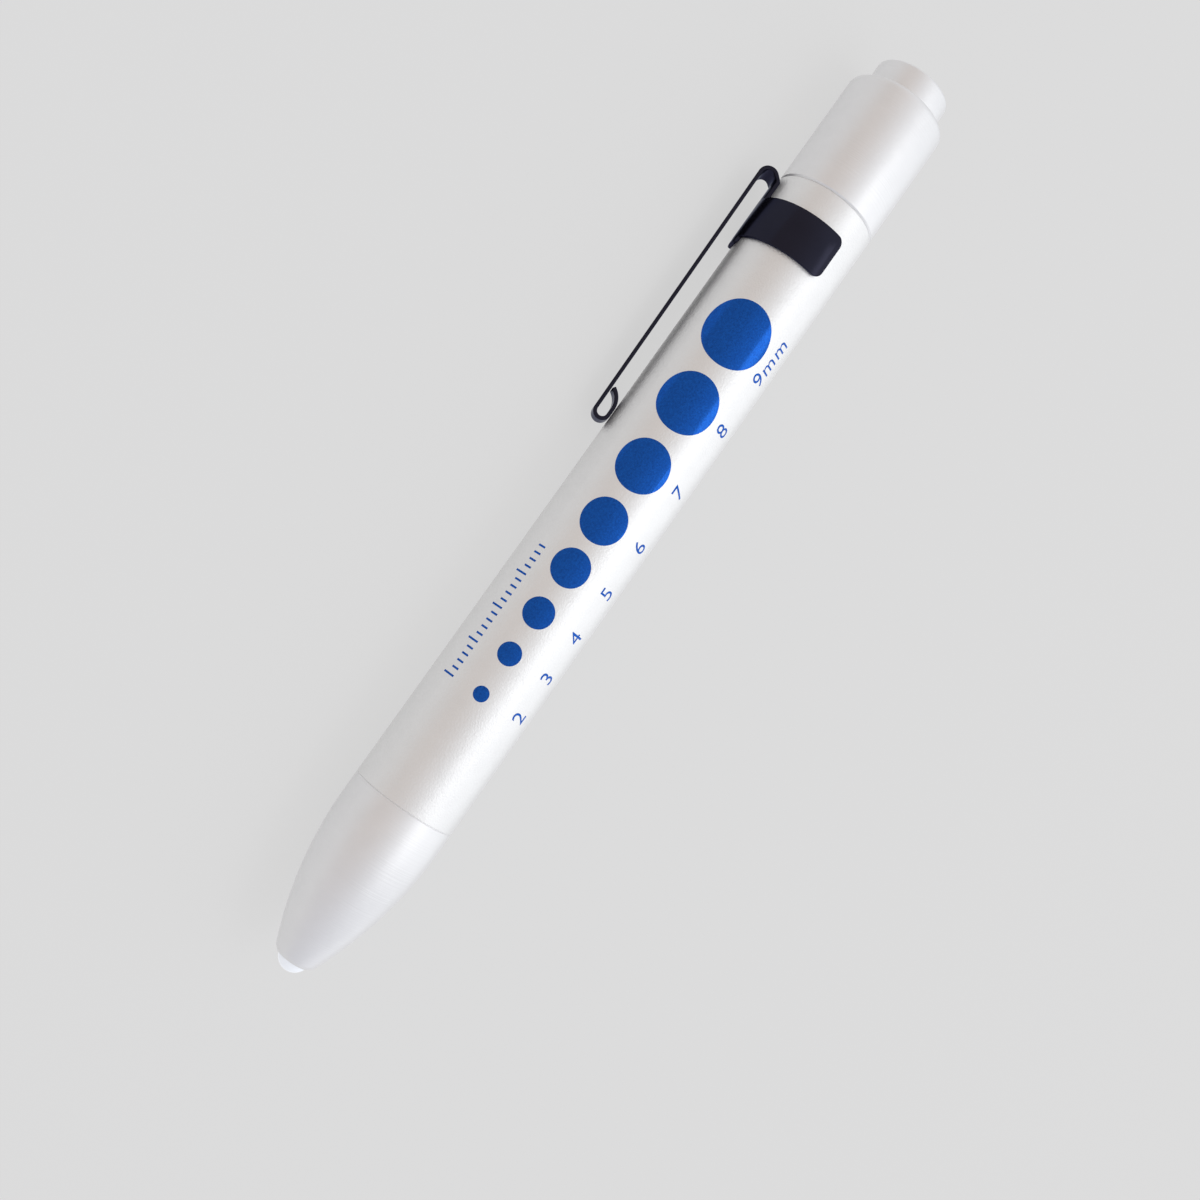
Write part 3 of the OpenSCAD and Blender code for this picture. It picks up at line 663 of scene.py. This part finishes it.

# %% [markdown]
# ## Springs
# Both springs are wound from 0.5 mm wire. A round section is spun along a helix, with one closed coil at
# In the pen, the return spring shortens between the sleeve and the plunger when the button goes down. Here
# it gets a mesh of its own and rides with the guide.


# %% Springs
def wind(front, rear, mean_r, tip_r, turns, closed_turns, wire=0.5, steps=48):
    """Wind a wire from front to rear, tapering from one mean radius to another."""
    bm = bmesh.new()
    lie = Matrix.Translation((mean_r, 0, front + wire / 2)) @ Matrix.Rotation(math.pi / 2, 4, "X")
    bmesh.ops.create_circle(bm, cap_ends=True, segments=14, radius=wire / 2, matrix=lie)
    rise = (rear - front - wire - 2 * closed_turns * wire) / turns
    section = bm.verts[:] + bm.edges[:] + bm.faces[:]
    for count, pitch in ((closed_turns, wire), (turns, rise), (closed_turns, wire)):
        if count:
            wound = bmesh.ops.spin(bm, geom=section, cent=(0, 0, 0), axis=(0, 0, 1), angle=math.tau * count,
                                   dvec=(0, 0, pitch / steps), steps=round(count * steps))
            section = wound["geom_last"]
    for vert in bm.verts:
        r = math.hypot(vert.co.x, vert.co.y)
        share = (vert.co.z - front) / (rear - front)
        narrowed = r - (mean_r - tip_r) * share
        vert.co.x *= narrowed / r
        vert.co.y *= narrowed / r
    bmesh.ops.remove_doubles(bm, verts=bm.verts, dist=weld_gap)
    bmesh.ops.recalc_face_normals(bm, faces=bm.faces)
    return bm


spring_front, spring_rear = along("front_spring")
lay_down(wind(spring_front, spring_rear, mean_r=3.0, tip_r=1.3, turns=3, closed_turns=0),
         "front_spring_coil", "pen_body", drawn_spring_steel, "front_spring")
spring_front, spring_rear = along("return_spring")
return_spring = lay_down(wind(spring_front, spring_rear, mean_r=3.3, tip_r=3.3, turns=7, closed_turns=1),
                         "return_spring_coil", "guide", drawn_spring_steel, "return_spring")
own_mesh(return_spring)

# %% [markdown]
# ## Rolling a flat blank
# The clip's band starts as a flat stamping, and the print starts as a flat artwork. Both end up round the
# barrel. So both are drawn flat here, as (along the pen, round the pen, outwards), then cut into narrow
# strips so that they can bend, given their thickness, and rolled to a radius.


# %% Rolling helper
def roll_up(bm, r, middle, thickness, strip=0.4):
    """Roll a flat blank round the pen: its upper side comes to radius r, and its middle to that angle."""
    reach = max(abs(vert.co.y) for vert in bm.verts)
    for i in range(-math.floor(reach / strip), math.floor(reach / strip) + 1):
        bmesh.ops.bisect_plane(bm, geom=bm.verts[:] + bm.edges[:] + bm.faces[:],
                               plane_co=(0, i * strip, 0), plane_no=(0, 1, 0))
    for face in bm.faces:
        face.normal_update()
    bmesh.ops.reverse_faces(bm, faces=[face for face in bm.faces if face.normal.z < 0])
    bmesh.ops.solidify(bm, geom=bm.faces[:], thickness=thickness)
    for vert in bm.verts:
        u, around, out = vert.co
        angle = middle - around / r
        vert.co = ((r + out) * math.cos(angle), (r + out) * math.sin(angle), u)
    bmesh.ops.recalc_face_normals(bm, faces=bm.faces)


print("blanks are rolled by", roll_up.__name__)

# %% [markdown]
# ## Clip
# The clip is one piece of spring steel. The band snaps round the barrel, and a tab in its middle is rolled
# with it. The tab runs back, flattens into a U-bend, and the arm comes forward again, narrows, and curls
# under so that it slides over a pocket's edge. Here the press work is followed: a line is run and bent as
# the sheet was, widened to a strip, rolled where the tab lies on the barrel, thickened and given broken
# edges. The line is the outer side of every bend.

# %% Clip band
band_l = 6.0
band_wrap = math.radians(242)
band_corner = 1.1
band_to_seam = 4.0
band_rear = cap_seam - band_to_seam
band_front = band_rear - band_l
bm = bmesh.new()
bmesh.ops.create_grid(bm, x_segments=1, y_segments=1, size=0.5)
bmesh.ops.scale(bm, vec=(band_l, band_wrap * band_r, 1), verts=bm.verts)
bmesh.ops.bevel(bm, geom=bm.verts[:], offset=band_corner, segments=8, profile=0.5, affect="VERTICES",
                material=-1)
bmesh.ops.translate(bm, vec=(band_front + band_l / 2, 0, 0), verts=bm.verts)
roll_up(bm, band_r, 0, sheet_t)
clip_mesh = bpy.data.meshes.new("clip_sheet")
bm.to_mesh(clip_mesh)
bm.free()
print("band blank", round(band_wrap * band_r, 2), "mm long before rolling")

# %% Clip strip
clip_tip_w = 2.8
tab_lead = 0.8
tab_trail = 2.5
base_front = band_front - tab_lead
base_rear = band_rear + tab_trail
base_corner = 0.9
arm_l = 36.5
arm_lean = math.radians(0.7)
curl_flat = 0.9
tongue_r = 2.6
tongue_angle = math.radians(55)
tongue_l = 0.4
bend_steps = 24
bend_r = (clip_gap + sheet_t) / 2
arm_drop = arm_l * math.sin(arm_lean)
curl_r = bend_r - arm_drop / (1 + math.cos(arm_lean))

bm = bmesh.new()
tip = bm.verts.new((base_h, -clip_w / 2, base_front))
heading = 0.0
for length, width, radius_mid, angle in (
        (base_rear - base_front, clip_w, bend_r, math.pi + arm_lean),
        (arm_l, clip_tip_w, curl_r, math.pi - arm_lean),
        (curl_flat, clip_tip_w, tongue_r, tongue_angle),
        (tongue_l, clip_tip_w, 0, 0)):
    ahead = Vector((math.sin(heading), 0, math.cos(heading)))
    end = bm.verts.new(tip.co + length * ahead)
    end.co.y = -width / 2
    bm.edges.new((tip, end))
    tip = end
    if angle:
        inward = Vector((ahead.z, 0, -ahead.x))
        bent = bmesh.ops.spin(bm, geom=[tip], cent=tip.co + (radius_mid + sheet_t / 2) * inward,
                              axis=(0, 1, 0), angle=angle, steps=bend_steps)
        tip = bent["geom_last"][0]
        heading += angle
print(f"strip ends {tip.co.x - body_r:.2f} mm over the barrel, inside the curl")

# %% Clip sheet
near = 0.01
flat_lead = 0.25
flat_trail = 0.95
tab_gap = 0.03
tab_strip = 0.38
tab_cuts = 5
fold_angle = math.radians(50)
sheet_edge = 0.07

widened = bmesh.ops.extrude_edge_only(bm, edges=bm.edges[:])
for item in widened["geom"]:
    if isinstance(item, bmesh.types.BMVert):
        item.co.y = -item.co.y
bmesh.ops.recalc_face_normals(bm, faces=bm.faces)
base_face = min(bm.faces, key=lambda face: face.calc_center_median().x)
if base_face.normal.x > 0:
    bmesh.ops.reverse_faces(bm, faces=bm.faces)
ends = [vert for vert in bm.verts if abs(vert.co.z - base_front) < near]
bmesh.ops.bevel(bm, geom=ends, offset=base_corner, segments=8, profile=0.5, affect="VERTICES", material=-1)

flat_from = base_rear + flat_lead
flat_to = base_rear + flat_trail
tab_r = body_r + tab_gap
for i in range(-tab_cuts, tab_cuts + 1):
    bmesh.ops.bisect_plane(bm, geom=bm.verts[:] + bm.edges[:] + bm.faces[:],
                           plane_co=(0, i * tab_strip, 0), plane_no=(0, 1, 0))
for vert in bm.verts:
    if vert.co.x < base_h + bend_r and vert.co.z > base_front - near:
        rolled = min(max((flat_to - vert.co.z) / (flat_to - flat_from), 0), 1)
        vert.co.x -= rolled * (base_h - math.sqrt(tab_r ** 2 - vert.co.y ** 2))
bmesh.ops.solidify(bm, geom=bm.faces[:], thickness=sheet_t)
bm.from_mesh(clip_mesh)
edges = [edge for edge in bm.edges if edge.is_manifold and edge.calc_face_angle() > fold_angle]
bmesh.ops.bevel(bm, geom=edges, offset=sheet_edge, segments=2, profile=0.5, affect="EDGES", material=-1)
bmesh.ops.recalc_face_normals(bm, faces=bm.faces)
lay_down(bm, "clip_sheet", "clip", black_coat, "clip")

# %% [markdown]
# ## Printed gauge
# Eight dots, 2 to 9 mm across, let a nurse judge a pupil by holding the pen beside the eye. They are printed
# in a row along the barrel, with their sizes in millimetres below. The ink film is a few hundredths of a
# millimetre thick, so that it catches the light with an edge of its own. Its strips are shaded as one round
# surface, so that a reflection crosses a dot without steps. A short scale of millimetres runs beside the
# small dots.

# %% Gauge dots
film_t = 0.02
film_lift = 0.012
film_r = body_r + film_lift
outer_side = 0.9
dot_places = [39.73, 45.57, 51.58, 58.21, 65.19, 73.44, 82.96, 93.44]
dot_sizes = range(2, 10)


def print_film(bm, name):
    """Roll a flat artwork round the barrel as a thin film of ink, and shade it as round as the barrel."""
    roll_up(bm, film_r, view_angle, film_t)
    mesh = lay_down(bm, name, "pen_body", blue_ink).data
    normals = []
    for face in mesh.polygons:
        for corner in face.loop_indices:
            outwards = mesh.vertices[mesh.loops[corner].vertex_index].co - rim
            outwards.x = 0
            outwards.normalize()
            normals.append(outwards if outwards.dot(face.normal) > outer_side else face.normal.copy())
    mesh.normals_split_custom_set(normals)


bm = bmesh.new()
for place, size in zip(dot_places, dot_sizes):
    bmesh.ops.create_circle(bm, cap_ends=True, segments=72, radius=size / 2,
                            matrix=Matrix.Translation((place, 0, 0)))
print_film(bm, "gauge_dots")

# %% Gauge numbers
digit_h = 2.3
digit_share = 0.73
digit_foot = -7.35
digit_shift = 0.16
digit_thinned = -0.008
digit_spacing = 1.12
lettering = bpy.data.curves.new("gauge_numbers", "FONT")
lettering.align_x = "CENTER"
lettering.size = digit_h / digit_share
lettering.offset = digit_thinned
lettering.space_character = digit_spacing
writer = bpy.data.objects.new("gauge_numbers_outline", lettering)
bpy.context.scene.collection.objects.link(writer)
bm = bmesh.new()
for place, size in zip(dot_places, dot_sizes):
    lettering.body = f"{size}mm" if size == max(dot_sizes) else str(size)
    bpy.context.view_layer.update()
    flat = bpy.data.meshes.new_from_object(writer.evaluated_get(bpy.context.evaluated_depsgraph_get()))
    flat.transform(Matrix.Translation((place + digit_shift, digit_foot, 0)))
    bm.from_mesh(flat)
    bpy.data.meshes.remove(flat)
bpy.data.objects.remove(writer)
bpy.data.curves.remove(lettering)
bmesh.ops.remove_doubles(bm, verts=bm.verts, dist=weld_gap)
print_film(bm, "gauge_numbers_film")

# %% Millimetre scale
scale_start = 39.5
scale_foot = 4.2
scale_count = 20
tick_w = 0.26
short_tick = 1.1
long_tick = 1.8
long_every = 5
bm = bmesh.new()
for i in range(scale_count):
    tick_l = short_tick if i % long_every else long_tick
    tick = Matrix.Translation((scale_start + i, scale_foot + tick_l / 2, 0))
    bmesh.ops.create_grid(bm, x_segments=1, y_segments=1, size=0.5,
                          matrix=tick @ Matrix.Diagonal((tick_w, tick_l, 1, 1)))
print_film(bm, "scale_ticks")
